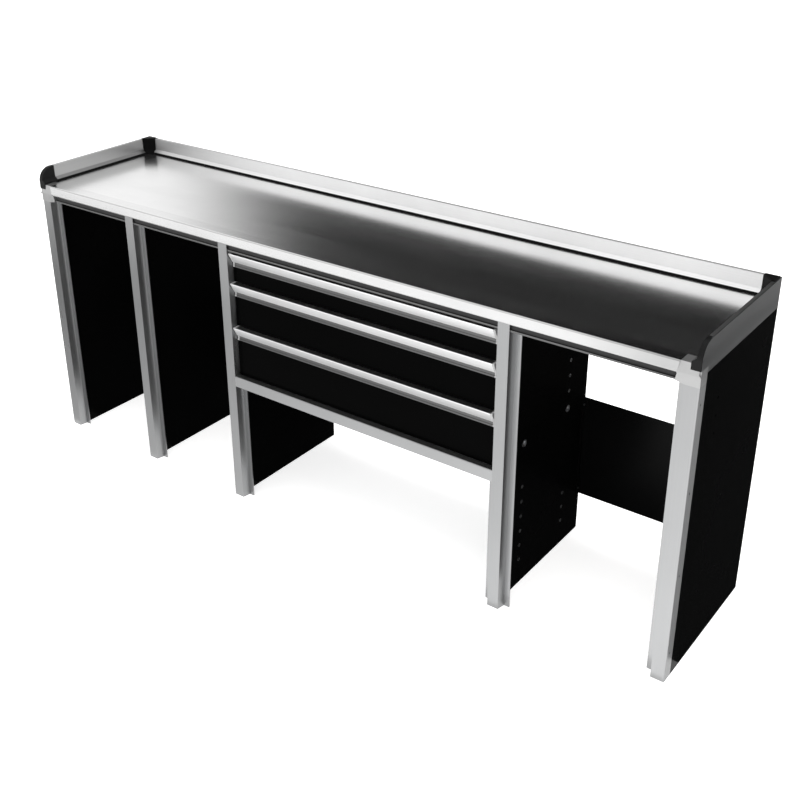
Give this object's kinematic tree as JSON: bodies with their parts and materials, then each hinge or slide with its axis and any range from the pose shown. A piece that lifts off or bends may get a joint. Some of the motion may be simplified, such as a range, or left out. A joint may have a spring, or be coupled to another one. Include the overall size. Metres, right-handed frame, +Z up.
{
  "type": "workbench with drawers",
  "caption": "Long standing-height workbench with a rimmed steel worktop, flanged aluminium uprights, open bays between black side panels, and a bay of full-width drawers.",
  "frame": {"origin": "on the floor, at the middle of the overall length and depth", "axes": "+X along the bench to the user's right, +Y towards the back, +Z up"},
  "size_m": [2.364, 0.505, 0.9835],
  "materials": {
    "upright": "clear anodised, satin",
    "corner_block": "bead-blasted, matt",
    "side_panel": "black powder coat, semi-gloss",
    "back_panel": "black powder coat, semi-gloss",
    "rear_beam": "black powder coat, semi-gloss",
    "slide_post": "black powder coat, semi-gloss",
    "bay_rail": "clear anodised, satin",
    "board": "plywood, sealed",
    "top_sheet": "stainless steel, fine brushed",
    "front_edge": "clear anodised, bright satin",
    "groove_strip": "matt black",
    "rim": "clear anodised, satin",
    "seal": "matt black",
    "rim_plate": "satin",
    "cap": "fine-grained black",
    "socket": "zinc-plated, matt",
    "rivet": "dark oxide",
    "bolt": "zinc-plated",
    "drawer_front": "black powder coat, semi-gloss",
    "tray": "grey powder coat, satin",
    "handle": "clear anodised, satin",
    "handle_cap": "fine-grained grey",
    "slide": "zinc-plated"
  },
  "bodies": {
    "frame": {"upright_1": "upright", "upright_2": "upright", "upright_3": "upright", "upright_4": "upright", "upright_5": "upright", "corner_block_left": "corner_block", "corner_block_right": "corner_block", "end_panel_left": "side_panel", "end_panel_right": "side_panel", "divider_1": "side_panel", "divider_2": "side_panel", "divider_3": "side_panel", "shelf_sockets": "socket", "back_panel_1": "back_panel", "back_panel_2": "back_panel", "back_panel_3": "back_panel", "back_panel_4": "back_panel", "rear_beam": "rear_beam", "drawer_bay_rail": "bay_rail", "slide_post_left": "slide_post", "slide_post_right": "slide_post", "worktop_board": "board", "worktop_sheet": "top_sheet", "front_edge_profile": "front_edge", "front_groove_strip": "groove_strip", "rim_back": "rim", "rim_left": "rim", "rim_right": "rim", "seal_back": "seal", "seal_left": "seal", "seal_right": "seal", "rim_plate_left": "rim_plate", "rim_plate_right": "rim_plate", "cap_front_left": "cap", "cap_front_right": "cap", "cap_back_left": "cap", "cap_back_right": "cap", "upright_screws": "rivet", "back_panel_screws": "bolt", "drawer_1_slide_outer": "slide", "drawer_2_slide_outer": "slide", "drawer_3_slide_outer": "slide"},
    "drawer_1": {"drawer_1_front": "drawer_front", "drawer_1_tray": "tray", "drawer_1_handle": "handle", "drawer_1_handle_caps": "handle_cap", "drawer_1_slide_inner": "slide"},
    "slide_1": {"drawer_1_slide_middle": "slide"},
    "drawer_2": {"drawer_2_front": "drawer_front", "drawer_2_tray": "tray", "drawer_2_handle": "handle", "drawer_2_handle_caps": "handle_cap", "drawer_2_slide_inner": "slide"},
    "slide_2": {"drawer_2_slide_middle": "slide"},
    "drawer_3": {"drawer_3_front": "drawer_front", "drawer_3_tray": "tray", "drawer_3_handle": "handle", "drawer_3_handle_caps": "handle_cap", "drawer_3_slide_inner": "slide"},
    "slide_3": {"drawer_3_slide_middle": "slide"}
  },
  "joints": [
    {"name": "drawer_1_travel", "type": "slide", "parent": "frame", "child": "drawer_1", "axis": [0, -1, 0], "range_m": [0, 0.4]},
    {"name": "slide_1_travel", "type": "slide", "parent": "frame", "child": "slide_1", "axis": [0, -1, 0], "range_m": [0, 0.2]},
    {"name": "drawer_2_travel", "type": "slide", "parent": "frame", "child": "drawer_2", "axis": [0, -1, 0], "range_m": [0, 0.4]},
    {"name": "slide_2_travel", "type": "slide", "parent": "frame", "child": "slide_2", "axis": [0, -1, 0], "range_m": [0, 0.2]},
    {"name": "drawer_3_travel", "type": "slide", "parent": "frame", "child": "drawer_3", "axis": [0, -1, 0], "range_m": [0, 0.4]},
    {"name": "slide_3_travel", "type": "slide", "parent": "frame", "child": "slide_3", "axis": [0, -1, 0], "range_m": [0, 0.2]}
  ],
  "couplings": [
    {"joint": "slide_1_travel", "follows": "drawer_1_travel", "ratio": 0.5},
    {"joint": "slide_2_travel", "follows": "drawer_2_travel", "ratio": 0.5},
    {"joint": "slide_3_travel", "follows": "drawer_3_travel", "ratio": 0.5}
  ]
}
